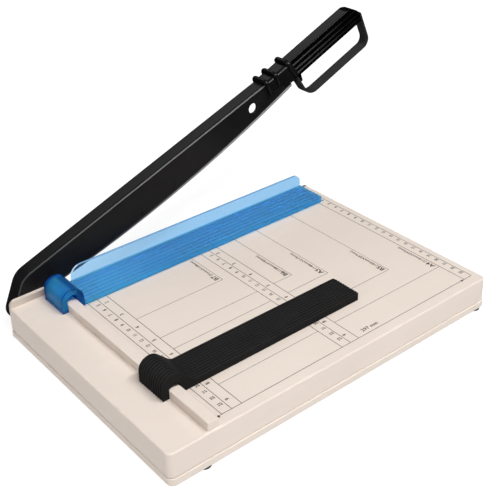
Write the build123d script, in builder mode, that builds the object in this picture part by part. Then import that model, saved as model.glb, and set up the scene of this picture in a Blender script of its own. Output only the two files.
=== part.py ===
from build123d import *
import os
from math import asin, cos, degrees, radians, sin, sqrt

# A4 guillotine paper cutter, millimetres, +Z up.
# Working datum: the paper zero, where the fence's right edge meets the cut
# line on the board's top face.  X runs along the blade from the pivot end to
# the handle end, Y from the front edge to the blade edge, Z up.

os.makedirs("parts", exist_ok=True)

# ---------------------------------------------------------------- dimensions
OX, OY, OZ = -180.1418, 115.7, 34.4  # paper zero in the part's own frame

# base
BX0, BX1 = -47.0, 315.0  # board top, left and right edge
BY0 = -251.0  # board top, front edge
SEAM_Z = -23.6  # underside of the top shell
COVER_TOP_Z = -24.1  # rim of the bottom cover
BOTTOM_Z = -31.4  # underside of the bottom cover
FOOT_Z = -34.4  # underside of the feet
DRAFT_DEG = 1.0
CORNER_R = 5.0
TOP_EDGE_R = 1.4
WALL = 3.0
TOP_T = 3.2
COVER_PROUD = 1.0
COVER_T = 3.0
BACK_WALL_Y = -6.5  # inner face of the blade-side wall
LEDGER_T = 3.0
LEDGER_H = 18.0
LEDGER_X0, LEDGER_X1 = 8.3, 314.6
EAR_TOP = 7.5
EAR_R = 6.0
EAR_X1 = 8.0
FOOT_D = 12.0
FEET = [(-12.0, -245.5), (308.0, -245.5), (-12.0, -13.5), (308.0, -13.5)]
COVER_SCREWS = [
    (-36.0, -238.0),
    (134.0, -238.0),
    (304.0, -228.0),
    (-36.0, -42.0),
    (134.0, -30.0),
    (304.0, -30.0),
]
LEDGER_SCREW_X = [28.0, 118.0, 208.0, 298.0]
LEDGER_SCREW_Z = -9.0

# pivot
PIVOT_X, PIVOT_Z = -30.0, -11.0
BOLT_D = 8.0
BUSH_BORE = 8.1
BUSH_OD = 12.0
BRACKET_SCREWS = [(-14.5, -7.5), (-14.5, -16.5)]

# fence
FENCE_X0, FENCE_X1 = -8.9, 1.7
FENCE_Y0, FENCE_Y1 = -249.0, -3.3
FENCE_H = 8.3
FENCE_SCREW_Y = [-60.0, -150.0, -235.0]

# arm, in the arm's own axes: u along the fold, v square to it, pivot at 0, 0
ARM_DEG = 20.5  # raised angle at rest
ARM_Y = 0.4  # inner face, running clearance to the ledger
PLATE_T = 3.0
FLANGE_W = 15.6
FLANGE_T = 3.0
V_TOP = 32.5
LOBE_R = 14.0
SHOULDER_R = 20.0
U_END = 342.0  # end of the flange, inside the collar
U_BLADE = 352.0  # end of the cutting edge
V_BLADE = 9.8
V_BACK = 24.0  # upper corner of the plate, past the flange
BEND_R = 2.6
HOLE_U, HOLE_V, HOLE_D = 299.3, 18.5, 11.0

# handle, in its own axes: s along the grip, n square to it and up
HANDLE_DEG = 23.6
HX, HY, HZ = 314.134, 8.0, 144.049  # point of the grip's axis with s = 0
GRIP_W, GRIP_H, GRIP_R = 13.8, 22.6, 1.2
GRIP_S0, GRIP_S1 = -18.0, 85.5
TANG_S0, TANG_S1, TANG_W, TANG_N, TANG_T = -44.0, 62.0, 8.4, 7.8, 3.0
RING_W = 26.0
RING_N = 13.0  # height the last ring leans about
RING_LEAN = 11.0
GUARD_W, GUARD_T = 11.5, 2.0
GUARD_N = -41.8
GUARD_S = 86.5
END_SCREW_N = -7.6
LEG_TOP = (-14.05, -12.5)  # upper end of the guard's slanted leg
LEG_FOOT_S = -9.1
LEG_SCREW = 3.7  # down the leg from its upper end
HANDLE_SCREW_S = [10.0, 46.0]
GROOVES = [5.6, -0.6, -5.8]
GROOVE_D = 1.4
GROOVE_S1 = 79.0

# blue guard bar
CG_Y0, CG_Y1 = -42.3, -9.4
CG_X1 = 301.0
CG_TOP = 7.0
CG_GAP = 1.0
CG_WALL = 2.0
FIN_Y = -6.2
FIN_T = 2.0
FIN_X0, FIN_X1 = 14.8, 300.0
FIN_TOP = 21.3

# paper stop
PS_Y0, PS_Y1 = -199.2, -165.5
PS_X0, PS_X1 = -15.3, 200.5
PS_TOP = 6.9
PS_ARCH = 22.0
PS_RIBS = 11
PS_GROOVE = 0.7

SLIDE_GAP = 0.35
UNDER = 0.4  # slide pieces stand this far over the board


# -------------------------------------------------------------------- planes
def level(z):
    return Plane(origin=(OX, OY, OZ + z), x_dir=(1, 0, 0), z_dir=(0, 0, 1))


def upright(y):
    # local x along the board, local y up, normal towards the front edge
    return Plane(origin=(OX, OY + y, OZ), x_dir=(1, 0, 0), z_dir=(0, -1, 0))


def across(x):
    # local x towards the blade edge, local y up, normal along the board
    return Plane(origin=(OX + x, OY, OZ), x_dir=(0, 1, 0), z_dir=(1, 0, 0))


def outward(x, z, y):
    # on an upright face looking out past the blade edge
    return Plane(
        origin=(OX + x, OY + y, OZ + z), x_dir=(1, 0, 0), z_dir=(0, 1, 0)
    )


def below(x, y, z):
    # looking down from an underside
    return Plane(
        origin=(OX + x, OY + y, OZ + z), x_dir=(1, 0, 0), z_dir=(0, 0, -1)
    )


CA, SA = cos(radians(ARM_DEG)), sin(radians(ARM_DEG))
CH, SH = cos(radians(HANDLE_DEG)), sin(radians(HANDLE_DEG))


def arm_side(y):
    return Plane(
        origin=(OX + PIVOT_X, OY + y, OZ + PIVOT_Z),
        x_dir=(CA, 0, SA),
        z_dir=(0, -1, 0),
    )


def arm_section(u):
    # local x is Y, local y is v, normal along the arm
    return Plane(
        origin=(OX + PIVOT_X + u * CA, OY, OZ + PIVOT_Z + u * SA),
        x_dir=(0, 1, 0),
        z_dir=(CA, 0, SA),
    )


def grip_side(y):
    return Plane(
        origin=(OX + HX, OY + y, OZ + HZ), x_dir=(CH, 0, SH), z_dir=(0, -1, 0)
    )


def ring_section(s, lean):
    # as grip_section, turned by lean degrees about a point RING_N up
    a = radians(HANDLE_DEG + lean)
    return Plane(
        origin=(
            OX + HX + s * CH - RING_N * SH,
            OY + HY,
            OZ + HZ + s * SH + RING_N * CH,
        ),
        x_dir=(0, 1, 0),
        z_dir=(cos(a), 0, sin(a)),
    )


def grip_section(s):
    # local x is Y from the grip's middle, local y is n, normal along the grip
    return Plane(
        origin=(OX + HX + s * CH, OY + HY, OZ + HZ + s * SH),
        x_dir=(0, 1, 0),
        z_dir=(CH, 0, SH),
    )


def grip_floor(s, n):
    # looking square down from the grip's underside
    return Plane(
        origin=(OX + HX + s * CH - n * SH, OY + HY, OZ + HZ + s * SH + n * CH),
        x_dir=(CH, 0, SH),
        z_dir=(SH, 0, -CH),
    )


LEG_L = sqrt((LEG_FOOT_S - LEG_TOP[0]) ** 2 + (GUARD_N - LEG_TOP[1]) ** 2)
LEG_D = ((LEG_FOOT_S - LEG_TOP[0]) / LEG_L, (GUARD_N - LEG_TOP[1]) / LEG_L)
LEG_N = (-LEG_D[1], LEG_D[0])  # square to the leg, towards the fingers


def leg_point(t, off):
    return (
        LEG_TOP[0] + LEG_D[0] * t + LEG_N[0] * off,
        LEG_TOP[1] + LEG_D[1] * t + LEG_N[1] * off,
    )


def guard_leg(t, off):
    # looking square out of the leg's outer face
    s, n = leg_point(t, off)
    return Plane(
        origin=(OX + HX + s * CH - n * SH, OY + HY, OZ + HZ + s * SH + n * CH),
        x_dir=(0, 1, 0),
        z_dir=(
            -LEG_N[0] * CH + LEG_N[1] * SH, 0, -LEG_N[0] * SH - LEG_N[1] * CH
        ),
    )


# --------------------------------------------------------------- base, shell
with BuildPart() as base_top_shell:
    grow = 0.41
    with BuildSketch(level(SEAM_Z)):
        with Locations(((BX0 + BX1) / 2, (BY0 - grow + 12) / 2)):
            RectangleRounded(
                BX1 - BX0 + 2 * grow, 12 - BY0 + grow, CORNER_R + grow
            )
    extrude(amount=-SEAM_Z, taper=DRAFT_DEG)
    with BuildSketch(level(SEAM_Z - 1)):
        with Locations(((BX0 + BX1) / 2, 15)):
            Rectangle(500, 30)
    extrude(amount=40, mode=Mode.SUBTRACT)
    top_face = base_top_shell.faces().sort_by(Axis.Z)[-1]
    rim = [e for e in top_face.edges() if abs(e.center().Y - OY) > 0.5]
    fillet(rim, TOP_EDGE_R)
    # ear beside the pivot
    with BuildSketch(upright(0)):
        with BuildLine():
            Polyline(
                (BX0 + 0.2 + EAR_R, EAR_TOP),
                (EAR_X1 - 2, EAR_TOP),
                (EAR_X1, EAR_TOP - 2),
                (EAR_X1, -6),
                (BX0 + 0.2, -6),
                (BX0 + 0.2, EAR_TOP - EAR_R),
            )
            CenterArc((BX0 + 0.2 + EAR_R, EAR_TOP - EAR_R), EAR_R, 90, 90)
        make_face()
    extrude(amount=3.0)
    # hollow inside
    with BuildSketch(level(SEAM_Z)):
        with Locations(
            ((BX0 + BX1) / 2, (BY0 + WALL + BACK_WALL_Y) / 2)
        ):
            RectangleRounded(
                BX1 - BX0 - 2 * WALL, BACK_WALL_Y - BY0 - WALL, 3.0
            )
    extrude(amount=-SEAM_Z - TOP_T, mode=Mode.SUBTRACT)
    # stiffening ribs under the top
    with BuildSketch(level(-20)):
        with Locations((134, -125)):
            Rectangle(356.5, 2)
        for x in (73, 163, 253):
            with Locations((x, -127.2)):
                Rectangle(2, 242)
    extrude(amount=20 - TOP_T + 0.2)
    # screw pillars
    with BuildSketch(level(BOTTOM_Z + COVER_T)):
        with Locations(*COVER_SCREWS):
            Circle(4.5)
    extrude(amount=-BOTTOM_Z - COVER_T - TOP_T + 0.2)
    with BuildSketch(level(BOTTOM_Z + COVER_T)):
        with Locations(*COVER_SCREWS):
            Circle(1.65)
    extrude(amount=15, mode=Mode.SUBTRACT)
    # seat for the ledger
    with BuildSketch(upright(0)):
        with Locations(((EAR_X1 + 330) / 2, -LEDGER_H / 2)):
            Rectangle(330 - EAR_X1, LEDGER_H)
    extrude(amount=LEDGER_T, mode=Mode.SUBTRACT)
    # screw holes through the blade-side wall
    with BuildSketch(upright(0)):
        with Locations(*[(x, LEDGER_SCREW_Z) for x in LEDGER_SCREW_X]):
            Circle(2.15)
        with Locations((PIVOT_X, PIVOT_Z)):
            Circle(BOLT_D / 2 + 0.2)
    extrude(amount=8, mode=Mode.SUBTRACT)
    with Locations(*[outward(x, z, 0) for x, z in BRACKET_SCREWS]):
        CounterSinkHole(2.15, 4.2, 8, 90)
    # fence screw holes
    with BuildSketch(level(-6)):
        with Locations(*[(-4, y) for y in FENCE_SCREW_Y]):
            Circle(1.65)
    extrude(amount=7, mode=Mode.SUBTRACT)

# --------------------------------------------------------------- base, cover
with BuildPart() as base_bottom_cover:
    cx0, cx1 = BX0 - COVER_PROUD, BX1 + COVER_PROUD
    cy0 = BY0 - COVER_PROUD - 0.4
    with BuildSketch(level(BOTTOM_Z)):
        with Locations(((cx0 + cx1) / 2, (cy0 + 12) / 2)):
            RectangleRounded(cx1 - cx0, 12 - cy0, CORNER_R + 1)
    extrude(amount=COVER_TOP_Z - BOTTOM_Z)
    with BuildSketch(level(BOTTOM_Z - 1)):
        with Locations(((cx0 + cx1) / 2, 15)):
            Rectangle(500, 30)
    extrude(amount=20, mode=Mode.SUBTRACT)
    low = base_bottom_cover.faces().sort_by(Axis.Z)[0]
    fillet([e for e in low.edges() if abs(e.center().Y - OY) > 0.5], 1.2)
    high = base_bottom_cover.faces().sort_by(Axis.Z)[-1]
    chamfer([e for e in high.edges() if abs(e.center().Y - OY) > 0.5], 0.5)
    with BuildSketch(level(BOTTOM_Z + COVER_T)):
        with Locations(((cx0 + cx1) / 2, (cy0 - 3) / 2 + 1.5)):
            RectangleRounded(cx1 - cx0 - 6, -cy0 - 6, 3)
    extrude(amount=10, mode=Mode.SUBTRACT)
    # locating lip inside the shell's wall
    lip_x = BX1 - BX0 - 2 * WALL - 0.6
    lip_y = BACK_WALL_Y - BY0 - WALL - 0.6
    with BuildSketch(level(BOTTOM_Z + COVER_T - 0.2)):
        with Locations(
            ((BX0 + BX1) / 2, (BY0 + WALL + BACK_WALL_Y) / 2)
        ):
            RectangleRounded(lip_x, lip_y, 3.0)
            RectangleRounded(
                lip_x - 3.2, lip_y - 3.2, 1.6, mode=Mode.SUBTRACT
            )
    extrude(amount=-22.3 - BOTTOM_Z - COVER_T + 0.2)
    with Locations(*[below(x, y, BOTTOM_Z) for x, y in COVER_SCREWS]):
        CounterBoreHole(1.75, 3.6, 2.0, 6)
    with BuildSketch(level(BOTTOM_Z)):
        with Locations(*FEET):
            Circle(FOOT_D / 2 + 0.05)
    extrude(amount=1.0, mode=Mode.SUBTRACT)

with BuildPart() as rubber_feet:
    with BuildSketch(level(FOOT_Z)):
        with Locations(*FEET):
            Circle(FOOT_D / 2)
    extrude(amount=BOTTOM_Z + 1.0 - FOOT_Z)
    soles = rubber_feet.faces().filter_by(Plane.XY).group_by(Axis.Z)[0]
    fillet(soles.edges(), 0.8)

with BuildPart() as cover_screws:
    with Locations(*[below(x, y, BOTTOM_Z + 2.0) for x, y in COVER_SCREWS]):
        Cylinder(1.5, 12, align=(Align.CENTER, Align.CENTER, Align.MAX))
        Cone(3.2, 2.6, 1.7, align=(Align.CENTER, Align.CENTER, Align.MIN))
    with Locations(*[below(x, y, BOTTOM_Z + 0.3) for x, y in COVER_SCREWS]):
        Box(
            3.4, 0.7, 0.9,
            align=(Align.CENTER, Align.CENTER, Align.MAX),
            mode=Mode.SUBTRACT,
        )
        Box(
            0.7, 3.4, 0.9,
            align=(Align.CENTER, Align.CENTER, Align.MAX),
            mode=Mode.SUBTRACT,
        )

# -------------------------------------------------------- ledger, fixed blade
LEDGER_SEATS = [outward(x, LEDGER_SCREW_Z, 0) for x in LEDGER_SCREW_X]

with BuildPart() as fixed_blade:
    with BuildSketch(upright(0)):
        with Locations(((LEDGER_X0 + LEDGER_X1) / 2, -LEDGER_H / 2)):
            Rectangle(LEDGER_X1 - LEDGER_X0, LEDGER_H)
    extrude(amount=LEDGER_T)
    with Locations(*LEDGER_SEATS):
        CounterSinkHole(2.15, 4.2, LEDGER_T + 1, 90)

with BuildPart() as fixed_blade_screws:
    with Locations(*[outward(x, LEDGER_SCREW_Z, -0.15) for x in LEDGER_SCREW_X]):
        Cylinder(2.0, 11, align=(Align.CENTER, Align.CENTER, Align.MAX))
        Cone(1.9, 3.9, 2.0, align=(Align.CENTER, Align.CENTER, Align.MAX))
        Box(
            4.4, 0.9, 1.1,
            align=(Align.CENTER, Align.CENTER, Align.MAX),
            mode=Mode.SUBTRACT,
        )
        Box(
            0.9, 4.4, 1.1,
            align=(Align.CENTER, Align.CENTER, Align.MAX),
            mode=Mode.SUBTRACT,
        )

with BuildPart() as fixed_blade_nuts:
    with BuildSketch(outward(0, 0, BACK_WALL_Y - 3.2)):
        with Locations(*[(x, -LEDGER_SCREW_Z) for x in LEDGER_SCREW_X]):
            RegularPolygon(7.0 / sqrt(3), 6)
            Circle(2.03, mode=Mode.SUBTRACT)
    extrude(amount=3.2)

# --------------------------------------------------------------------- pivot
with BuildPart() as pivot_bracket:
    with BuildSketch(across(-40.6)):
        with BuildLine():
            Polyline(
                (BACK_WALL_Y, -3.4),
                (BACK_WALL_Y, -22),
                (-28, -22),
                (-28, -19),
                (BACK_WALL_Y - 3, -19),
                (BACK_WALL_Y - 3, -3.4),
                close=True,
            )
        make_face()
    extrude(amount=33)
    with BuildSketch(upright(0)):
        with Locations((PIVOT_X, PIVOT_Z)):
            Circle(BOLT_D / 2 + 0.05)
        with Locations(*BRACKET_SCREWS):
            Circle(2.05)
    extrude(amount=12, mode=Mode.SUBTRACT)

with BuildPart() as bracket_screws:
    with Locations(*[outward(x, z, -0.15) for x, z in BRACKET_SCREWS]):
        Cylinder(2.0, 9.2, align=(Align.CENTER, Align.CENTER, Align.MAX))
        Cone(1.9, 3.9, 2.0, align=(Align.CENTER, Align.CENTER, Align.MAX))
        Box(
            4.4, 0.9, 1.1,
            align=(Align.CENTER, Align.CENTER, Align.MAX),
            mode=Mode.SUBTRACT,
        )
        Box(
            0.9, 4.4, 1.1,
            align=(Align.CENTER, Align.CENTER, Align.MAX),
            mode=Mode.SUBTRACT,
        )

with BuildPart() as pivot_bolt:
    with BuildSketch(outward(PIVOT_X, PIVOT_Z, BACK_WALL_Y - 3 - 5.3)):
        RegularPolygon(13.0 / sqrt(3), 6)
    extrude(amount=5.3)
    with BuildSketch(outward(PIVOT_X, PIVOT_Z, BACK_WALL_Y - 3)):
        Circle(BOLT_D / 2)
    extrude(amount=17.2 - BACK_WALL_Y + 3)
    tip = pivot_bolt.faces().sort_by(Axis.Y)[-1]
    chamfer(tip.edges(), 0.7)

BUSH_Y1 = ARM_Y + PLATE_T + 2.0
with BuildPart() as pivot_bush:
    with BuildSketch(outward(PIVOT_X, PIVOT_Z, ARM_Y)):
        Circle(BUSH_OD / 2)
    extrude(amount=PLATE_T + 2.0)
    with BuildSketch(outward(PIVOT_X, PIVOT_Z, ARM_Y + PLATE_T)):
        Circle(9.0)
    extrude(amount=2.0)
    chamfer(pivot_bush.faces().sort_by(Axis.Y)[-1].edges(), 0.4)
    with BuildSketch(outward(PIVOT_X, PIVOT_Z, ARM_Y - 1)):
        Circle(BUSH_BORE / 2)
    extrude(amount=12, mode=Mode.SUBTRACT)

# two cupped spring washers, rim to rim
SPRING_Y0 = BUSH_Y1 + 0.35
with BuildPart() as pivot_spring_washers:
    with BuildSketch(
        Plane(
            origin=(OX + PIVOT_X, OY, OZ + PIVOT_Z),
            x_dir=(1, 0, 0),
            z_dir=(0, 0, 1),
        )
    ):
        with BuildLine():
            Polyline(
                (4.2, SPRING_Y0), (8.8, SPRING_Y0 + 0.6),
                (8.8, SPRING_Y0 + 1.6), (4.2, SPRING_Y0 + 1.0), close=True,
            )
        make_face()
        with BuildLine():
            Polyline(
                (8.8, SPRING_Y0 + 1.65), (4.2, SPRING_Y0 + 2.25),
                (4.2, SPRING_Y0 + 3.25), (8.8, SPRING_Y0 + 2.65), close=True,
            )
        make_face()
    revolve(
        axis=Axis((OX + PIVOT_X, OY, OZ + PIVOT_Z), (0, 1, 0)),
        revolution_arc=360,
    )

WASHER_Y0 = SPRING_Y0 + 3.3
with BuildPart() as pivot_washer:
    with BuildSketch(outward(PIVOT_X, PIVOT_Z, WASHER_Y0)):
        Circle(8.5)
        Circle(BOLT_D / 2 + 0.2, mode=Mode.SUBTRACT)
    extrude(amount=1.6)
    chamfer(pivot_washer.faces().sort_by(Axis.Y)[-1].edges().sort_by(SortBy.LENGTH)[-1], 0.3)

NUT_Y0 = WASHER_Y0 + 1.6
with BuildPart() as pivot_lock_nut:
    with BuildSketch(outward(PIVOT_X, PIVOT_Z, NUT_Y0)):
        RegularPolygon(13.0 / sqrt(3), 6)
    extrude(amount=5.2)
    with BuildSketch(outward(PIVOT_X, PIVOT_Z, NUT_Y0 + 5.2)):
        Circle(5.9)
    extrude(amount=1.6)
    fillet(pivot_lock_nut.faces().sort_by(Axis.Y)[-1].edges(), 0.8)
    with BuildSketch(outward(PIVOT_X, PIVOT_Z, NUT_Y0 - 1)):
        Circle(BOLT_D / 2 + 0.01)
    extrude(amount=12, mode=Mode.SUBTRACT)

# --------------------------------------------------------------------- fence
with BuildPart() as ruler_fence:
    with BuildSketch(level(0)):
        with Locations(
            ((FENCE_X0 + FENCE_X1) / 2, (FENCE_Y0 + FENCE_Y1) / 2)
        ):
            Rectangle(FENCE_X1 - FENCE_X0, FENCE_Y1 - FENCE_Y0)
    extrude(amount=FENCE_H)
    fillet(
        ruler_fence.edges().filter_by(Axis.Z).group_by(Axis.Y)[0], 1.0
    )
    crown = ruler_fence.faces().sort_by(Axis.Z)[-1]
    fillet(crown.edges(), 0.8)
    with BuildSketch(level(0)):
        with Locations(*[(-4, y) for y in FENCE_SCREW_Y]):
            Circle(1.55)
    extrude(amount=5.5, mode=Mode.SUBTRACT)

with BuildPart() as fence_screws:
    with Locations(*[below(-4, y, -TOP_T) for y in FENCE_SCREW_Y]):
        Cylinder(1.5, TOP_T + 5, align=(Align.CENTER, Align.CENTER, Align.MAX))
        Cone(3.1, 2.5, 2.0, align=(Align.CENTER, Align.CENTER, Align.MIN))
    with Locations(*[below(-4, y, -TOP_T - 2.0) for y in FENCE_SCREW_Y]):
        Box(
            3.4, 0.7, 1.0,
            align=(Align.CENTER, Align.CENTER, Align.MAX),
            mode=Mode.SUBTRACT,
        )
        Box(
            0.7, 3.4, 1.0,
            align=(Align.CENTER, Align.CENTER, Align.MAX),
            mode=Mode.SUBTRACT,
        )

# ----------------------------------------------------------------- blade arm
R2 = sqrt(0.5)
LOBE_T = (-LOBE_R * R2, LOBE_R * R2)  # where the shoulder leaves the lobe
corner_u = LOBE_T[0] + (V_TOP - LOBE_T[1])  # shoulder line meets the top line
SHOULDER_U = corner_u + SHOULDER_R * (sqrt(2) - 1)
SHOULDER_V = V_TOP - SHOULDER_R
HEEL = (26.0, 4.6)  # start of the cutting edge
BELLY = (170.0, -2.9)
LOBE_END = -45.0
FLANGE_END = 200.0


def polar(r, deg, c=(0.0, 0.0)):
    return (c[0] + r * cos(radians(deg)), c[1] + r * sin(radians(deg)))


# circle of the cutting edge and the stretch of it that is ground
BEVEL_H, BEVEL_T = 6.5, 2.5
BEVEL_U0, BEVEL_U1 = 30.0, 344.0


def circle_centre(p, q, r):
    d = 2 * (p[0] * (q[1] - r[1]) + q[0] * (r[1] - p[1]) + r[0] * (p[1] - q[1]))
    pp, qq, rr = (a[0] ** 2 + a[1] ** 2 for a in (p, q, r))
    return (
        (pp * (q[1] - r[1]) + qq * (r[1] - p[1]) + rr * (p[1] - q[1])) / d,
        (pp * (r[0] - q[0]) + qq * (p[0] - r[0]) + rr * (q[0] - p[0])) / d,
    )


EDGE_C = circle_centre(HEEL, BELLY, (U_BLADE, V_BLADE))
EDGE_R = sqrt((HEEL[0] - EDGE_C[0]) ** 2 + (HEEL[1] - EDGE_C[1]) ** 2)
edge_a0 = degrees(asin((BEVEL_U0 - EDGE_C[0]) / EDGE_R))
edge_a1 = degrees(asin((BEVEL_U1 - EDGE_C[0]) / EDGE_R))
EDGE_DIR = (sin(radians(edge_a0)), -cos(radians(edge_a0)))
BEVEL_ARC = edge_a1 - edge_a0

with BuildPart() as blade_arm:
    with BuildSketch(arm_side(ARM_Y + PLATE_T)):
        with BuildLine():
            Line((U_END, V_TOP), (SHOULDER_U, V_TOP))
            CenterArc((SHOULDER_U, SHOULDER_V), SHOULDER_R, 90, 45)
            Line(polar(SHOULDER_R, 135, (SHOULDER_U, SHOULDER_V)), LOBE_T)
            CenterArc((0, 0), LOBE_R, 135, 180)
            Line(polar(LOBE_R, LOBE_END), HEEL)
            ThreePointArc(HEEL, BELLY, (U_BLADE, V_BLADE))
            Polyline(
                (U_BLADE, V_BLADE), (U_BLADE, V_BACK), (U_END, V_TOP),
            )
        make_face()
    extrude(amount=PLATE_T)
    with BuildSketch(arm_side(ARM_Y + FLANGE_W)):
        with BuildLine():
            Line((U_END, V_TOP), (SHOULDER_U, V_TOP))
            CenterArc((SHOULDER_U, SHOULDER_V), SHOULDER_R, 90, 45)
            Line(polar(SHOULDER_R, 135, (SHOULDER_U, SHOULDER_V)), LOBE_T)
            CenterArc((0, 0), LOBE_R, 135, FLANGE_END - 135)
            Line(polar(LOBE_R, FLANGE_END), polar(LOBE_R - FLANGE_T, FLANGE_END))
            CenterArc((0, 0), LOBE_R - FLANGE_T, 135, FLANGE_END - 135)
            Line(
                polar(LOBE_R - FLANGE_T, 135),
                polar(SHOULDER_R - FLANGE_T, 135, (SHOULDER_U, SHOULDER_V)),
            )
            CenterArc(
                (SHOULDER_U, SHOULDER_V), SHOULDER_R - FLANGE_T, 90, 45
            )
            Polyline(
                (SHOULDER_U, V_TOP - FLANGE_T),
                (U_END, V_TOP - FLANGE_T),
                (U_END, V_TOP),
            )
        make_face()
    extrude(amount=FLANGE_W)
    # rounded fold along the inner face
    inner = arm_side(ARM_Y)
    fold = []
    for e in blade_arm.edges().filter_by_position(
        Axis.Y, OY + ARM_Y - 0.01, OY + ARM_Y + 0.01
    ):
        c = inner.to_local_coords(e @ 0.5)
        on_top = abs(c.Y - V_TOP) < 0.1 and c.X < U_END
        on_shoulder = abs(c.X - c.Y + 2 * LOBE_R * R2) < 4 and c.X < SHOULDER_U
        if on_top or on_shoulder:
            fold.append(e)
    fillet(fold, BEND_R)
    # ground bevel on the outer face, turned about the edge's own centre
    with BuildSketch(
        Plane(
            origin=arm_side(0).from_local_coords(Vector(*EDGE_C, 0)),
            x_dir=arm_side(0).x_dir * EDGE_DIR[0] + arm_side(0).y_dir * EDGE_DIR[1],
            z_dir=(
                arm_side(0).x_dir * EDGE_DIR[0] + arm_side(0).y_dir * EDGE_DIR[1]
            ).cross(Vector(0, 1, 0)),
        )
    ):
        with BuildLine():
            Polyline(
                (EDGE_R - BEVEL_H - BEVEL_H / BEVEL_T, ARM_Y + PLATE_T + 1),
                (EDGE_R + 2, ARM_Y + PLATE_T - BEVEL_T - 2 * BEVEL_T / BEVEL_H),
                (EDGE_R + 2, ARM_Y + PLATE_T + 1),
                close=True,
            )
        make_face()
    revolve(
        axis=Axis(arm_side(0).from_local_coords(Vector(*EDGE_C, 0)), (0, -1, 0)),
        revolution_arc=BEVEL_ARC,
        mode=Mode.SUBTRACT,
    )
    # the flange runs on as a flat tang along the grip
    with BuildSketch(grip_section(TANG_S0)):
        with Locations((0, TANG_N)):
            Rectangle(TANG_W, TANG_T)
    extrude(amount=TANG_S1 - TANG_S0)
    # pivot hole, hang hole and tang holes
    with BuildSketch(arm_side(ARM_Y + 20)):
        Circle(BUSH_OD / 2 + 0.01)
        with Locations((HOLE_U, HOLE_V)):
            Circle(HOLE_D / 2)
    extrude(amount=30, mode=Mode.SUBTRACT)
    with BuildSketch(grip_floor(0, 0)):
        with Locations(*[(s, 0) for s in HANDLE_SCREW_S]):
            Circle(2.1)
    extrude(amount=-14, mode=Mode.SUBTRACT)

# -------------------------------------------------------------------- handle
with BuildPart() as handle_collar:
    for s0, ring_t, low, high, low_r, high_r, lean in (
        (-55.4, 4.5, -2.2, 16.0, 2.5, 7.0, 0.0),
        (-42.4, 4.5, 0.6, 16.0, 2.5, 7.0, 0.0),
        (-23.8, 5.0, -8.6, 15.7, 5.0, 8.0, RING_LEAN),
    ):
        with BuildSketch(ring_section(s0, lean)):
            with BuildLine():
                FilletPolyline(
                    (-RING_W / 2, low - RING_N), (RING_W / 2, low - RING_N),
                    (RING_W / 2, high - RING_N), (-RING_W / 2, high - RING_N),
                    radius=[low_r, low_r, high_r, high_r],
                    close=True,
                )
            make_face()
        extrude(amount=ring_t)
    rims = []
    for f in handle_collar.faces():
        nrm = f.normal_at()
        for lean in (0.0, RING_LEAN):
            along = ring_section(0, lean).z_dir
            if abs(abs(nrm.dot(along)) - 1) < 1e-4:
                rims += f.outer_wire().edges()
    fillet(rims, 2.1)
    # sleeve that joins the rings, deeper between the second and the third
    for s0, s1, low in ((-54.0, -38.5, 0.2), (-38.5, -18.2, -8.2)):
        with BuildSketch(grip_section(s0)):
            with BuildLine():
                FilletPolyline(
                    (-10.5, low), (10.5, low), (10.5, 12.0), (-10.5, 12.0),
                    radius=[1.0, 1.0, 5.0, 5.0],
                    close=True,
                )
            make_face()
        extrude(amount=s1 - s0)
    with BuildSketch(grip_side(HY + 12)):
        with BuildLine():
            Polyline(
                (-38.6, 0.4), (-36.5, 0.1), (-29.5, -6.6), (-24.0, -8.3),
                (-24.0, -10), (-38.6, -10), close=True,
            )
        make_face()
    extrude(amount=24, mode=Mode.SUBTRACT)
    # channel for the arm's flange, blade and tang
    with BuildSketch(arm_section(300)):
        with BuildLine():
            Polyline(
                (ARM_Y - 0.15, V_TOP + 0.15),
                (ARM_Y + FLANGE_W + 0.15, V_TOP + 0.15),
                (ARM_Y + FLANGE_W + 0.15, V_TOP - FLANGE_T - 0.15),
                (ARM_Y + PLATE_T + 0.15, V_TOP - FLANGE_T - 0.15),
                (ARM_Y + PLATE_T + 0.15, -10),
                (ARM_Y - 0.15, -10),
                close=True,
            )
        make_face()
    extrude(amount=U_END + 0.2 - 300, mode=Mode.SUBTRACT)
    with BuildSketch(arm_side(ARM_Y + PLATE_T + 0.15)):
        with BuildLine():
            Polyline(
                (U_END - 1, 0),
                (U_END + 2.5, 0),
                (U_END + 2.5, V_BLADE - 1.2),
                (U_BLADE + 0.3, V_BLADE - 1.2),
                (U_BLADE + 0.3, V_BACK + 0.2),
                (U_END + 0.2, V_TOP + 0.15),
                (U_END - 1, V_TOP + 0.15),
                close=True,
            )
        make_face()
    extrude(amount=PLATE_T + 0.3, mode=Mode.SUBTRACT)
    with BuildSketch(grip_section(TANG_S0 - 1)):
        with Locations((0, TANG_N)):
            Rectangle(TANG_W + 0.4, TANG_T + 0.4)
    extrude(amount=40, mode=Mode.SUBTRACT)
    # mouth the grip sits in
    with BuildSketch(grip_section(GRIP_S0 - 0.15)):
        Rectangle(GRIP_W + 0.3, GRIP_H + 0.3)
    extrude(amount=14, mode=Mode.SUBTRACT)

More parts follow.
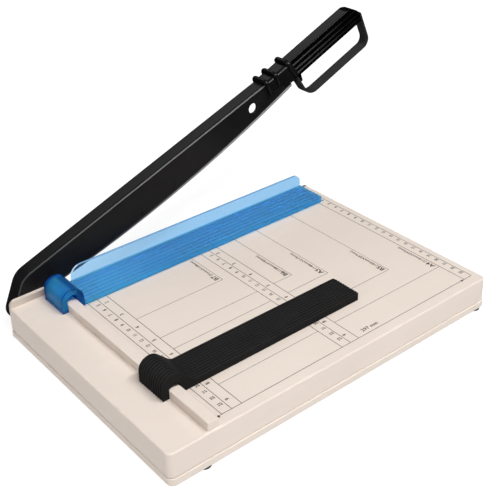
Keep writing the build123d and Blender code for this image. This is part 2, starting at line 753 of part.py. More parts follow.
with BuildPart() as handle_grip:
    with BuildSketch(grip_section(GRIP_S0)):
        RectangleRounded(GRIP_W, GRIP_H, GRIP_R)
    extrude(amount=GRIP_S1 - GRIP_S0)
    with BuildSketch(grip_side(HY + 20)):
        with BuildLine():
            FilletPolyline(
                (GRIP_S0, -GRIP_H / 2), (GRIP_S1, -GRIP_H / 2),
                (GRIP_S1, GRIP_H / 2), (GRIP_S0, GRIP_H / 2),
                radius=[0, 2.0, 18.0, 0],
                close=True,
            )
        make_face()
    extrude(amount=40, mode=Mode.INTERSECT)
    # tip rounded in plan too
    with BuildSketch(grip_floor(0, -20)):
        with BuildLine():
            FilletPolyline(
                (GRIP_S0, -GRIP_W / 2), (GRIP_S1, -GRIP_W / 2),
                (GRIP_S1, GRIP_W / 2), (GRIP_S0, GRIP_W / 2),
                radius=[0, 3.0, 3.0, 0],
                close=True,
            )
        make_face()
    extrude(amount=-40, mode=Mode.INTERSECT)
    # lug behind the hand guard's leg
    with BuildSketch(grip_side(HY + GUARD_W / 2)):
        with BuildLine():
            FilletPolyline(
                leg_point(-2.9, 1.0), leg_point(7.3, 1.0),
                (-9.7, -19.4), (-8.9, -10.0),
                radius=[0, 0.8, 1.2, 0],
                close=True,
            )
        make_face()
    extrude(amount=GUARD_W)
    with BuildSketch(guard_leg(LEG_SCREW, GUARD_T / 2)):
        Circle(1.6)
    extrude(amount=-7.0, mode=Mode.SUBTRACT)
    # lengthwise grooves on both cheeks
    with BuildSketch(grip_section(GRIP_S0 - 1)):
        for side in (-1, 1):
            for n in GROOVES:
                deep, out = GRIP_W / 2 - GROOVE_D, GRIP_W / 2 + 0.5
                with BuildLine():
                    Polyline(
                        (side * deep, n),
                        (side * out, n + 0.65 * (out - deep)),
                        (side * out, n - 0.5 * (out - deep)),
                        close=True,
                    )
                make_face()
    extrude(amount=GROOVE_S1 - GRIP_S0 + 1, mode=Mode.SUBTRACT)
    # pocket for the tang
    with BuildSketch(grip_section(GRIP_S0 - 1)):
        with Locations((0, TANG_N)):
            Rectangle(TANG_W + 0.4, TANG_T + 0.4)
    extrude(amount=TANG_S1 + 0.4 - GRIP_S0 + 1, mode=Mode.SUBTRACT)
    # screws from the underside
    with Locations(*[grip_floor(s, -GRIP_H / 2) for s in HANDLE_SCREW_S]):
        CounterBoreHole(2.15, 3.9, 3.0, 18.2)
    # end screw
    with BuildSketch(grip_section(GRIP_S1)):
        with Locations((0, END_SCREW_N)):
            Circle(1.6)
    extrude(amount=-16, mode=Mode.SUBTRACT)

with BuildPart() as handle_screws:
    with Locations(*[grip_floor(s, 3.0 - GRIP_H / 2) for s in HANDLE_SCREW_S]):
        Cylinder(2.0, 17.4, align=(Align.CENTER, Align.CENTER, Align.MAX))
        Cone(3.7, 3.0, 2.2, align=(Align.CENTER, Align.CENTER, Align.MIN))
    with Locations(*[grip_floor(s, 0.8 - GRIP_H / 2) for s in HANDLE_SCREW_S]):
        Box(
            4.0, 0.9, 1.2,
            align=(Align.CENTER, Align.CENTER, Align.MAX),
            mode=Mode.SUBTRACT,
        )
        Box(
            0.9, 4.0, 1.2,
            align=(Align.CENTER, Align.CENTER, Align.MAX),
            mode=Mode.SUBTRACT,
        )

# flat strip bent into a loop under the grip
with BuildPart() as hand_guard:
    half = GUARD_T / 2
    with BuildSketch(grip_side(HY + GUARD_W / 2)):
        with BuildLine():
            path = FilletPolyline(
                LEG_TOP,
                (LEG_FOOT_S, GUARD_N),
                (GUARD_S, GUARD_N),
                (GUARD_S, -3.6),
                radius=[14.0, 9.0],
            )
            offset(path, amount=half, side=Side.BOTH)
        make_face()
    extrude(amount=GUARD_W)
    with BuildSketch(guard_leg(LEG_SCREW, 2)):
        Circle(1.8)
    extrude(amount=4, mode=Mode.SUBTRACT)
    with BuildSketch(grip_section(GRIP_S1 - 1)):
        with Locations((0, END_SCREW_N)):
            Circle(1.8)
    extrude(amount=5, mode=Mode.SUBTRACT)

with BuildPart() as hand_guard_screws:
    with BuildSketch(guard_leg(LEG_SCREW, -GUARD_T / 2)):
        Circle(1.5)
    extrude(amount=-4.9)
    with BuildSketch(guard_leg(LEG_SCREW, -GUARD_T / 2)):
        Circle(3.2)
    extrude(amount=2.0, taper=12)
    with BuildSketch(grip_section(GRIP_S1 + GUARD_T)):
        with Locations((0, END_SCREW_N)):
            Circle(1.5)
    extrude(amount=-15)
    with BuildSketch(grip_section(GRIP_S1 + GUARD_T)):
        with Locations((0, END_SCREW_N)):
            Circle(3.2)
    extrude(amount=2.0, taper=12)

# ------------------------------------------------------- blue see-through bar
with BuildPart() as clamp_guard:
    left, right = FENCE_X0 - SLIDE_GAP, FENCE_X1 + SLIDE_GAP
    mid_in = (left + right) / 2
    r_in = (right - left) / 2
    with BuildSketch(upright(CG_Y1)):
        with BuildLine():
            Polyline((-14.8, 10.7), (-14.8, UNDER), (left, UNDER), (left, 10.7))
            ThreePointArc((left, 10.7), (mid_in, 10.7 + r_in), (right, 10.7))
            Polyline((right, 10.7), (right, UNDER), (7.8, UNDER), (7.8, 10.7))
            ThreePointArc((7.8, 10.7), (-3.5, 22.0), (-14.8, 10.7))
        make_face()
    extrude(amount=CG_Y1 - CG_Y0)
    with BuildSketch(across(6.0)):
        with Locations(((CG_Y0 - 7.0) / 2, (CG_TOP + CG_GAP) / 2)):
            Rectangle(-7.0 - CG_Y0, CG_TOP - CG_GAP)
    extrude(amount=CG_X1 - 6.0)
    with BuildSketch(upright(FIN_Y)):
        with BuildLine():
            FilletPolyline(
                (FIN_X1, CG_GAP), (FIN_X1, FIN_TOP),
                (FIN_X0, FIN_TOP), (FIN_X0, CG_GAP),
                radius=[0, 9.0, 11.5, 0],
                close=True,
            )
        make_face()
    extrude(amount=FIN_T)
    # lengthwise grooves along the top
    with BuildSketch(across(9.5)):
        for y in (-37.6, -32.2, -26.8, -21.4, -16.0, -10.8):
            with Locations((y, CG_TOP)):
                Rectangle(1.3, 1.4)
    extrude(amount=CG_X1 - 9.5 + 1, mode=Mode.SUBTRACT)
    # hollow under the bar
    with BuildSketch(level(CG_GAP)):
        with Locations(
            ((7.8 + CG_WALL + CG_X1 - CG_WALL) / 2, (CG_Y0 - 7.0 - 0.6) / 2)
        ):
            RectangleRounded(
                CG_X1 - 7.8 - 2 * CG_WALL, -7.6 - CG_Y0 - 2 * CG_WALL, 1.0
            )
    extrude(amount=CG_TOP - CG_GAP - CG_WALL, mode=Mode.SUBTRACT)
    ends = [
        e
        for e in clamp_guard.edges().filter_by(Axis.Z)
        if e.center().X - OX > CG_X1 - 0.1
    ]
    fillet([e for e in ends if abs(e.center().Y - OY - CG_Y0) < 0.1], 1.5)


# ---------------------------------------------------------------- paper stop
def stop_profile(d):
    # outline across the saddle and along the bar, its upper skin d lower
    r = 11.05 - d
    c = (-4.25, PS_ARCH - 11.05)
    slope_t = (c[0] + r * R2, c[1] + r * R2)
    foot_x = slope_t[0] + (slope_t[1] - PS_TOP + d)
    left_in, right_in = FENCE_X0 - SLIDE_GAP, FENCE_X1 + SLIDE_GAP
    Line((PS_X0 + d, UNDER), (PS_X0 + d, c[1]))
    ThreePointArc((PS_X0 + d, c[1]), (c[0] - r * R2, c[1] + r * R2), (c[0], c[1] + r))
    ThreePointArc(
        (c[0], c[1] + r),
        (c[0] + r * sin(radians(22.5)), c[1] + r * cos(radians(22.5))),
        slope_t,
    )
    k = 3.0
    Line(slope_t, (foot_x - k * R2, PS_TOP - d + k * R2))
    ThreePointArc(
        (foot_x - k * R2, PS_TOP - d + k * R2),
        (
            foot_x + k - (k / 0.41421) * sin(radians(22.5)),
            PS_TOP - d + (k / 0.41421) * (1 - cos(radians(22.5))),
        ),
        (foot_x + k, PS_TOP - d),
    )
    Polyline(
        (foot_x + k, PS_TOP - d), (PS_X1, PS_TOP - d), (PS_X1, UNDER),
        (right_in, UNDER), (right_in, 9.0),
    )
    ThreePointArc((right_in, 9.0), ((left_in + right_in) / 2, 12.3), (left_in, 9.0))
    Polyline((left_in, 9.0), (left_in, UNDER), (PS_X0 + d, UNDER))


with BuildPart() as paper_stop:
    with BuildSketch(upright(PS_Y1)):
        with BuildLine():
            stop_profile(PS_GROOVE)
        make_face()
    extrude(amount=PS_Y1 - PS_Y0)
    pitch = (PS_Y1 - PS_Y0 + 1.0) / PS_RIBS
    for i in range(PS_RIBS):
        with BuildSketch(upright(PS_Y1 - i * pitch)):
            with BuildLine():
                stop_profile(0.0)
            make_face()
        extrude(amount=pitch - 1.0)
    # upright corners at the bar's free end
    with BuildSketch(level(-1)):
        with BuildLine():
            FilletPolyline(
                (PS_X0 - 1, PS_Y0), (PS_X1, PS_Y0),
                (PS_X1, PS_Y1), (PS_X0 - 1, PS_Y1),
                radius=[0, 2.5, 2.5, 0],
                close=True,
            )
        make_face()
    extrude(amount=30, mode=Mode.INTERSECT)

# -------------------------------------------------------------------- export
for piece, name in (
    (base_top_shell, "base_top_shell"),
    (base_bottom_cover, "base_bottom_cover"),
    (rubber_feet, "rubber_feet"),
    (cover_screws, "cover_screws"),
    (fixed_blade, "fixed_blade"),
    (fixed_blade_screws, "fixed_blade_screws"),
    (fixed_blade_nuts, "fixed_blade_nuts"),
    (pivot_bracket, "pivot_bracket"),
    (bracket_screws, "bracket_screws"),
    (pivot_bolt, "pivot_bolt"),
    (pivot_bush, "pivot_bush"),
    (pivot_spring_washers, "pivot_spring_washers"),
    (pivot_washer, "pivot_washer"),
    (pivot_lock_nut, "pivot_lock_nut"),
    (ruler_fence, "ruler_fence"),
    (fence_screws, "fence_screws"),
    (blade_arm, "blade_arm"),
    (handle_collar, "handle_collar"),
    (handle_grip, "handle_grip"),
    (handle_screws, "handle_screws"),
    (hand_guard, "hand_guard"),
    (hand_guard_screws, "hand_guard_screws"),
    (clamp_guard, "clamp_guard"),
    (paper_stop, "paper_stop"),
):
    piece.part.label = name
    export_step(piece.part, f"parts/{name}.step")
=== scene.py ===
import math

import bpy
from mathutils import Matrix, Vector


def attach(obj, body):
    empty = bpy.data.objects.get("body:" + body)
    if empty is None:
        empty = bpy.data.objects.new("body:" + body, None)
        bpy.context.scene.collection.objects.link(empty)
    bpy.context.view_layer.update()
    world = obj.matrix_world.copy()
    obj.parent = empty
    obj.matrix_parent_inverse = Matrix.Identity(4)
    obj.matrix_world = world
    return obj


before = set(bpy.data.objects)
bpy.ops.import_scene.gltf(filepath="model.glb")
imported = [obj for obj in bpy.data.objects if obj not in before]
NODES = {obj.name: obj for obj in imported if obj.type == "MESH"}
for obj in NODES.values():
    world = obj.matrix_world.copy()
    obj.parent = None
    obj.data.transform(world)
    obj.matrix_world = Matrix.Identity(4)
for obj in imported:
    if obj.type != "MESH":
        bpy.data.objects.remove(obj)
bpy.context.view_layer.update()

# --------------------------------------------------------------------- datum
# Paper zero: where the fence's right edge meets the cut line on the board's
# top face.  Board coordinates below are millimetres from it.
OX, OY, OZ = -180.1418, 115.7, 34.4


def board(x, y, z=0.0):
    return Vector(((x + OX) / 1000, (y + OY) / 1000, (z + OZ) / 1000))


# -------------------------------------------------------------------- camera
cam_data = bpy.data.cameras.new("view")
cam_data.sensor_fit = "HORIZONTAL"
cam_data.sensor_width = 36.0
cam_data.lens = 68.773
cam_data.clip_start = 0.02
cam_data.clip_end = 50.0
camera = bpy.data.objects.new("view", cam_data)
bpy.context.scene.collection.objects.link(camera)
facing = Matrix(
    (
        (0.77397029, 0.34582435, -0.5304484),
        (-0.63273396, 0.38948637, -0.66928925),
        (-0.02485409, 0.85364272, 0.52026569),
    )
)
camera.matrix_world = (
    Matrix.Translation(board(-317.0495, -693.179, 489.84)) @ facing.to_4x4()
)
bpy.context.scene.camera = camera

# ------------------------------------------------------------- floor, lights
scene = bpy.context.scene
scene.view_settings.view_transform = "Standard"
scene.view_settings.look = "None"

world = bpy.data.worlds.new("studio")
scene.world = world
world.use_nodes = True
sky = world.node_tree
aim = sky.nodes.new("ShaderNodeTexCoord")
split = sky.nodes.new("ShaderNodeSeparateXYZ")
rise = sky.nodes.new("ShaderNodeMapRange")
rise.inputs["From Min"].default_value = -0.02
rise.inputs["From Max"].default_value = 0.10
rise.inputs["To Min"].default_value = 0.0
rise.inputs["To Max"].default_value = 0.40
sky.links.new(aim.outputs["Generated"], split.inputs["Vector"])
sky.links.new(split.outputs["Z"], rise.inputs["Value"])
sky.links.new(rise.outputs["Result"], sky.nodes["Background"].inputs["Strength"])


def softbox(name, place, aim, size, watts, tint=(1, 1, 1)):
    data = bpy.data.lights.new(name, "AREA")
    data.shape = "RECTANGLE"
    data.size, data.size_y = size
    data.energy = watts
    data.color = tint
    lamp = bpy.data.objects.new(name, data)
    scene.collection.objects.link(lamp)
    lamp.location = place
    lamp.rotation_euler = (
        (Vector(aim) - Vector(place)).to_track_quat("-Z", "Y").to_euler()
    )
    return lamp


softbox("top_box", (0.0, -0.75, 1.9), (0.0, 0.0, 0.0), (1.8, 0.9), 15.5)
softbox("strip_box", (0.10, -0.95, 1.65), (0.0, 0.05, 0.06), (1.6, 0.16), 28.0)
softbox("back_box", (0.25, 1.36, 1.5), (0.0, 0.1, 0.1), (1.2, 0.8), 3.8)
softbox("side_box", (-1.7, -0.3, 0.75), (0.0, 0.0, 0.05), (0.9, 0.9), 7.0)


# ------------------------------------------------------------------ finishes
class Finish:
    """One procedural material, wired step by step in object coordinates."""

    def __init__(self, name, roughness=0.5, metallic=0.0):
        self.mat = bpy.data.materials.new(name)
        self.mat.use_nodes = True
        self.tree = self.mat.node_tree
        self.tree.nodes.clear()
        self.out = self.tree.nodes.new("ShaderNodeOutputMaterial")
        self.bsdf = self.tree.nodes.new("ShaderNodeBsdfPrincipled")
        self.tree.links.new(self.bsdf.outputs["BSDF"], self.out.inputs["Surface"])
        self.coord = self.tree.nodes.new("ShaderNodeTexCoord").outputs["Object"]
        self.set("Roughness", roughness)
        self.set("Metallic", metallic)

    def set(self, socket, value):
        self.bsdf.inputs[socket].default_value = value
        return self

    def link(self, source, target):
        self.tree.links.new(source, target)
        return target

    def feed(self, socket, source):
        self.link(source, self.bsdf.inputs[socket])
        return self

    def scaled(self, sx, sy, sz, turn=(0.0, 0.0, 0.0)):
        node = self.tree.nodes.new("ShaderNodeMapping")
        node.inputs["Rotation"].default_value = turn
        node.inputs["Scale"].default_value = (sx, sy, sz)
        self.link(self.coord, node.inputs["Vector"])
        return node.outputs["Vector"]

    def noise(self, scale, detail=3.0, rough=0.5, where=None, warp=0.0):
        node = self.tree.nodes.new("ShaderNodeTexNoise")
        node.inputs["Scale"].default_value = scale
        node.inputs["Detail"].default_value = detail
        node.inputs["Roughness"].default_value = rough
        node.inputs["Distortion"].default_value = warp
        self.link(where or self.coord, node.inputs["Vector"])
        return node.outputs["Fac"]

    def span(self, source, low, high, to_low, to_high, smooth=False):
        node = self.tree.nodes.new("ShaderNodeMapRange")
        node.clamp = True
        if smooth:
            node.interpolation_type = "SMOOTHSTEP"
        self.link(source, node.inputs["Value"])
        node.inputs["From Min"].default_value = low
        node.inputs["From Max"].default_value = high
        node.inputs["To Min"].default_value = to_low
        node.inputs["To Max"].default_value = to_high
        return node.outputs["Result"]

    def math(self, how, a, b=None, clamp=False):
        node = self.tree.nodes.new("ShaderNodeMath")
        node.operation = how
        node.use_clamp = clamp
        for k, v in enumerate((a, b)):
            if v is None:
                continue
            if isinstance(v, (int, float)):
                node.inputs[k].default_value = v
            else:
                self.link(v, node.inputs[k])
        return node.outputs["Value"]

    def mix(self, factor, a, b):
        node = self.tree.nodes.new("ShaderNodeMix")
        node.data_type = "RGBA"
        self.link(factor, node.inputs[0])
        for k, v in ((6, a), (7, b)):
            if isinstance(v, (tuple, list)):
                node.inputs[k].default_value = (*v[:3], 1.0)
            else:
                self.link(v, node.inputs[k])
        return node.outputs[2]

    def blend(self, factor, a, b):
        node = self.tree.nodes.new("ShaderNodeMix")
        node.data_type = "FLOAT"
        self.link(factor, node.inputs[0])
        for k, v in ((2, a), (3, b)):
            if isinstance(v, (int, float)):
                node.inputs[k].default_value = v
            else:
                self.link(v, node.inputs[k])
        return node.outputs[0]

    def bump(self, height, strength, distance, below=None):
        node = self.tree.nodes.new("ShaderNodeBump")
        node.inputs["Strength"].default_value = strength
        node.inputs["Distance"].default_value = distance
        self.link(height, node.inputs["Height"])
        if below is not None:
            self.link(below, node.inputs["Normal"])
        return node.outputs["Normal"]

    def axis(self, direction, origin=(0, 0, 0)):
        """Distance in metres along a direction from an origin."""
        gap = self.tree.nodes.new("ShaderNodeVectorMath")
        gap.operation = "SUBTRACT"
        self.link(self.coord, gap.inputs[0])
        gap.inputs[1].default_value = origin
        dot = self.tree.nodes.new("ShaderNodeVectorMath")
        dot.operation = "DOT_PRODUCT"
        self.link(gap.outputs["Vector"], dot.inputs[0])
        dot.inputs[1].default_value = direction
        return dot.outputs["Value"]

    def radius_xy(self):
        """Distance in metres from the upright line through the origin."""
        flat = self.tree.nodes.new("ShaderNodeVectorMath")
        flat.operation = "MULTIPLY"
        self.link(self.coord, flat.inputs[0])
        flat.inputs[1].default_value = (1, 1, 0)
        length = self.tree.nodes.new("ShaderNodeVectorMath")
        length.operation = "LENGTH"
        self.link(flat.outputs["Vector"], length.inputs[0])
        return length.outputs["Value"]

    def radius_xz(self, centre):
        """Distance in metres from a line that runs along Y."""
        gap = self.tree.nodes.new("ShaderNodeVectorMath")
        gap.operation = "SUBTRACT"
        self.link(self.coord, gap.inputs[0])
        gap.inputs[1].default_value = centre
        flat = self.tree.nodes.new("ShaderNodeVectorMath")
        flat.operation = "MULTIPLY"
        self.link(gap.outputs["Vector"], flat.inputs[0])
        flat.inputs[1].default_value = (1, 0, 1)
        length = self.tree.nodes.new("ShaderNodeVectorMath")
        length.operation = "LENGTH"
        self.link(flat.outputs["Vector"], length.inputs[0])
        return length.outputs["Value"]


def beige_plastic():
    f = Finish("beige_plastic")
    cloud = f.noise(14, 4, 0.6)
    flow = f.noise(1.0, 3, 0.55, where=f.scaled(28, 170, 170))
    speck = f.noise(1500, 2, 0.6)
    tone = f.mix(f.span(cloud, 0.3, 0.7, 0, 1), (0.742, 0.650, 0.580), (0.765, 0.675, 0.605))
    tone = f.mix(f.span(flow, 0.35, 0.75, 0, 0.4), tone, (0.725, 0.628, 0.550))
    tone = f.mix(f.span(speck, 0.56, 0.74, 0, 0.28), tone, (0.66, 0.56, 0.48))
    # painted shade on the wall of the ear, darkest towards the saddle, where the arm and the saddle shade it
    up = f.axis((0, 0, 1), board(0, 0, 0))
    wall = f.span(f.axis((0, 1, 0), board(0, 0, 0)), -0.00325, -0.00305, 0, 1)
    wall = f.math("MULTIPLY", wall, f.span(up, 0.0003, 0.0008, 0, 1))
    wall = f.math("MULTIPLY", wall, f.span(up, 0.0064, 0.0073, 1, 0, True))
    painted_shade = f.span(f.axis((1, 0, 0), board(0, 0, 0)), -0.038, -0.021, 0.32, 0.78, True)
    tone = f.mix(f.math("MULTIPLY", wall, painted_shade), tone, (0.36, 0.305, 0.265))
    f.feed("Base Color", tone)
    f.feed("Roughness", f.span(f.noise(90, 3), 0.3, 0.7, 0.46, 0.60))
    f.set("Specular IOR Level", 0.35)
    grain = f.noise(2600, 2, 0.55)
    soft = f.noise(260, 2, 0.5)
    f.feed("Normal", f.bump(grain, 0.22, 0.00006, f.bump(soft, 0.10, 0.0002)))
    return f.mat


def printing_ink():
    f = Finish("printing_ink", 0.55)
    patch = f.noise(900, 3, 0.7)
    f.feed("Base Color", f.mix(f.span(patch, 0.4, 0.75, 0, 1), (0.030, 0.025, 0.022), (0.080, 0.066, 0.058)))
    f.feed("Roughness", f.span(patch, 0.3, 0.7, 0.45, 0.7))
    f.set("Specular IOR Level", 0.2)
    return f.mat


# the cutting edge is an arc; its centre and radius in board millimetres
PIVOT = (-30.0, -11.0)
ARM = math.radians(20.5)
ARM_U = Vector((math.cos(ARM), 0, math.sin(ARM)))
ARM_V = Vector((-math.sin(ARM), 0, math.cos(ARM)))
ARM_Y = 0.4


def circle_through(p, q, r):
    d = 2 * (p[0] * (q[1] - r[1]) + q[0] * (r[1] - p[1]) + r[0] * (p[1] - q[1]))
    pp, qq, rr = (a[0] ** 2 + a[1] ** 2 for a in (p, q, r))
    cx = (pp * (q[1] - r[1]) + qq * (r[1] - p[1]) + rr * (p[1] - q[1])) / d
    cy = (pp * (r[0] - q[0]) + qq * (p[0] - r[0]) + rr * (q[0] - p[0])) / d
    return cx, cy, math.hypot(p[0] - cx, p[1] - cy)


EDGE_U, EDGE_V, EDGE_R = circle_through((26.0, 4.6), (170.0, -2.9), (352.0, 9.8))
PIVOT_AT = board(PIVOT[0], ARM_Y, PIVOT[1])
EDGE_AT = PIVOT_AT + ARM_U * (EDGE_U / 1000) + ARM_V * (EDGE_V / 1000)


# outline of the arm round its shoulder: centre and radius, pivot lobe, fold
V_TOP, LOBE = 32.5, 14.0
SHOULDER_R = 20.0
SHOULDER = (
    V_TOP - math.sqrt(2) * LOBE + SHOULDER_R * (math.sqrt(2) - 1),
    V_TOP - SHOULDER_R,
    SHOULDER_R,
)


def black_paint():
    """Black enamel on the arm, worn to bright ground steel along the edge."""
    f = Finish("black_paint")
    along = f.axis(ARM_U, PIVOT_AT)
    deep = f.math("SUBTRACT", EDGE_R / 1000, f.radius_xz(EDGE_AT))
    out = f.axis((0, 1, 0), PIVOT_AT)
    # inner face: a narrow lap that widens towards the handle
    width = f.span(along, 0.06, 0.345, 0.0014, 0.0029)
    ragged = f.math("MULTIPLY", f.math("SUBTRACT", f.noise(420, 3, 0.6), 0.5), 0.0005)
    inner = f.span(f.math("SUBTRACT", f.math("ADD", deep, ragged), width), -0.00012, 0.00012, 1, 0)
    # outer face: the whole ground bevel
    bevel = f.span(deep, 0.00635, 0.0065, 1, 0)
    ground = f.blend(f.span(out, 0.00035, 0.00055, 0, 1), inner, bevel)
    ground = f.math("MULTIPLY", ground, f.span(along, 0.0295, 0.0320, 0, 1))
    cloud = f.noise(35, 4, 0.6)
    dust = f.noise(700, 3, 0.65)
    paint = f.mix(f.span(cloud, 0.3, 0.7, 0, 1), (0.0066, 0.0066, 0.0070), (0.0094, 0.0094, 0.0100))
    paint = f.mix(f.span(dust, 0.62, 0.82, 0, 0.30), paint, (0.022, 0.022, 0.023))
    # painted highlight: a pale line along the fold and round the shoulder, where the bend catches the light
    side = f.axis(ARM_V, PIVOT_AT)
    over = f.math("SUBTRACT", along, SHOULDER[0] / 1000)
    rise = f.math("SUBTRACT", side, SHOULDER[1] / 1000)
    round_at = PIVOT_AT + ARM_U * (SHOULDER[0] / 1000) + ARM_V * (SHOULDER[1] / 1000)
    in_arc = f.math("SUBTRACT", SHOULDER[2] / 1000, f.radius_xz(round_at))
    in_slope = f.math("SUBTRACT", LOBE / 1000, f.math("MULTIPLY", f.math("SUBTRACT", side, along), math.sqrt(0.5)))
    in_lobe = f.math("SUBTRACT", LOBE / 1000, f.radius_xz(PIVOT_AT))
    inset = f.blend(f.math("GREATER_THAN", f.math("ADD", along, side), 0.0), in_lobe, in_slope)
    inset = f.blend(f.math("GREATER_THAN", f.math("ADD", over, rise), 0.0), inset, in_arc)
    inset = f.blend(f.math("GREATER_THAN", over, 0.0), inset, f.math("SUBTRACT", V_TOP / 1000, side))
    painted_highlight = f.math("MULTIPLY", f.span(inset, 0.0005, 0.0010, 0, 1, True), f.span(inset, 0.0013, 0.0019, 1, 0, True))
    painted_highlight = f.math("MULTIPLY", painted_highlight, f.span(out, 0.0012, 0.0018, 1, 0))
    painted_highlight = f.math("MULTIPLY", painted_highlight, f.span(along, 0.03, 0.17, 0.30, 1.0))
    painted_highlight = f.math("MULTIPLY", painted_highlight, f.span(f.noise(300, 3, 0.6), 0.25, 0.75, 0.75, 1.0))
    paint = f.mix(painted_highlight, paint, (0.180, 0.180, 0.185))
    # grinding lines run square to the edge
    lines = f.noise(1.0, 2, 0.6, where=f.scaled(2600, 60, 60, (0, ARM, 0)))
    steel = f.mix(f.span(lines, 0.3, 0.7, 0, 1), (0.25, 0.25, 0.255), (0.40, 0.40, 0.41))
    steel = f.mix(f.span(along, 0.07, 0.27, 0, 1), (0.10, 0.10, 0.105), steel)
    f.feed("Base Color", f.mix(ground, paint, steel))
    f.feed("Metallic", f.math("MULTIPLY", ground, 0.2))
    f.feed("Roughness", f.blend(ground, f.span(cloud, 0.3, 0.7, 0.27, 0.34), f.span(lines, 0.3, 0.7, 0.26, 0.40)))
    f.set("Specular IOR Level", 0.12)
    peel = f.noise(520, 2, 0.5)
    f.feed("Normal", f.bump(f.blend(ground, peel, lines), 0.12, 0.00012))
    return f.mat


# grip axis: a point on it and its directions
GRIP_TURN = math.radians(23.6)
GRIP_AT = board(314.134, 8.0, 144.049)
GRIP_S = Vector((math.cos(GRIP_TURN), 0, math.sin(GRIP_TURN)))
GRIP_N = Vector((-math.sin(GRIP_TURN), 0, math.cos(GRIP_TURN)))


def black_gloss_plastic(name="black_gloss_plastic", ridges=(), lift=0.0):
    """Shiny black moulding; the grip's ridges carry painted highlights, brightest near the collar."""
    f = Finish(name)
    cloud = f.noise(60, 4, 0.6)
    scuff = f.noise(1.0, 4, 0.7, where=f.scaled(120, 900, 500, (0, ARM, 0)))
    tone = f.mix(f.span(cloud, 0.3, 0.7, 0, 1), (0.0006 + lift, 0.0006 + lift, 0.0007 + lift), (0.0013 + lift, 0.0013 + lift, 0.0014 + lift))
    tone = f.mix(f.span(scuff, 0.66, 0.84, 0, 0.3), tone, (0.012, 0.012, 0.012))
    if ridges:
        # painted highlights: pale bands along the ridges, where the groove walls catch the light
        s = f.axis(GRIP_S, GRIP_AT)
        n = f.axis(GRIP_N, GRIP_AT)
        painted_highlight = None
        for at in ridges:
            off = f.math("ABSOLUTE", f.math("SUBTRACT", n, at / 1000))
            band = f.span(off, 0.0003, 0.0009, 1, 0, True)
            painted_highlight = band if painted_highlight is None else f.math("MAXIMUM", painted_highlight, band)
        painted_highlight = f.math("MULTIPLY", painted_highlight, f.span(s, -0.012, 0.062, 1.0, 0.06))
        painted_highlight = f.math("MULTIPLY", painted_highlight, f.span(f.noise(240, 3, 0.6), 0.25, 0.75, 0.75, 1.0))
        tone = f.mix(painted_highlight, tone, (0.062, 0.062, 0.064))
    f.feed("Base Color", tone)
    f.feed("Roughness", f.math("ADD", f.span(cloud, 0.3, 0.7, 0.18, 0.26), f.span(scuff, 0.6, 0.85, 0, 0.15)))
    f.set("Specular IOR Level", 0.13)
    f.feed("Normal", f.bump(f.noise(1300, 2, 0.5), 0.08, 0.00006))
    return f.mat


def black_enamel():
    """Satin black on the bent strip of the hand guard."""
    f = Finish("black_enamel")
    cloud = f.noise(70, 4, 0.6)
    dust = f.noise(900, 3, 0.65)
    tone = f.mix(f.span(cloud, 0.3, 0.7, 0, 1), (0.0200, 0.0200, 0.0205), (0.0265, 0.0262, 0.0262))
    f.feed("Base Color", f.mix(f.span(dust, 0.62, 0.82, 0, 0.3), tone, (0.05, 0.05, 0.05)))
    f.feed("Roughness", f.span(cloud, 0.3, 0.7, 0.32, 0.40))
    f.set("Specular IOR Level", 0.06)
    f.feed("Normal", f.bump(f.noise(700, 2, 0.5), 0.10, 0.0001))
    return f.mat


def black_matte_plastic():
    f = Finish("black_matte_plastic")
    cloud = f.noise(50, 4, 0.6)
    dust = f.noise(1100, 2, 0.7)
    tone = f.mix(f.span(cloud, 0.3, 0.7, 0, 1), (0.0175, 0.0174, 0.0176), (0.0225, 0.0221, 0.0220))
    tone = f.mix(f.span(dust, 0.60, 0.78, 0, 0.3), tone, (0.04, 0.038, 0.036))
    # painted shade in the grooves between the eleven ribs
    turn = f.math("FRACT", f.math("DIVIDE", f.axis((0, -1, 0), board(0, -165.5, 0)), 0.00315455))
    f.feed("Base Color", f.mix(f.span(turn, 0.67, 0.72, 0, 1), tone, (0.0065, 0.0064, 0.0064)))
    f.feed("Roughness", f.span(f.noise(120, 3), 0.3, 0.7, 0.46, 0.58))
    f.set("Specular IOR Level", 0.012)
    f.feed("Normal", f.bump(f.noise(2200, 2, 0.55), 0.15, 0.00005))
    return f.mat


def black_rubber():
    f = Finish("black_rubber")
    cloud = f.noise(180, 4, 0.65)
    f.feed("Base Color", f.mix(f.span(cloud, 0.3, 0.7, 0, 1), (0.010, 0.010, 0.010), (0.024, 0.023, 0.022)))
    f.feed("Roughness", f.span(cloud, 0.3, 0.7, 0.72, 0.88))
    f.set("Specular IOR Level", 0.3)
    f.feed("Normal", f.bump(f.noise(1800, 3, 0.6), 0.3, 0.0001))
    return f.mat


def zinc_steel():
    f = Finish("zinc_steel", metallic=1.0)
    spangle = f.noise(420, 3, 0.55)
    f.feed("Base Color", f.mix(f.span(spangle, 0.3, 0.7, 0, 1), (0.50, 0.51, 0.52), (0.68, 0.69, 0.70)))
    f.feed("Roughness", f.span(f.noise(260, 3), 0.3, 0.7, 0.28, 0.46))
    f.feed("Normal", f.bump(f.noise(1600, 2), 0.10, 0.00008))
    return f.mat


def brass():
    f = Finish("brass", metallic=1.0)
    tarnish = f.noise(240, 4, 0.6)
    f.feed("Base Color", f.mix(f.span(tarnish, 0.35, 0.7, 0, 1), (0.78, 0.55, 0.20), (0.58, 0.38, 0.13)))
    f.feed("Roughness", f.span(tarnish, 0.3, 0.7, 0.24, 0.44))
    f.feed("Normal", f.bump(f.noise(1500, 2), 0.08, 0.00008))
    return f.mat


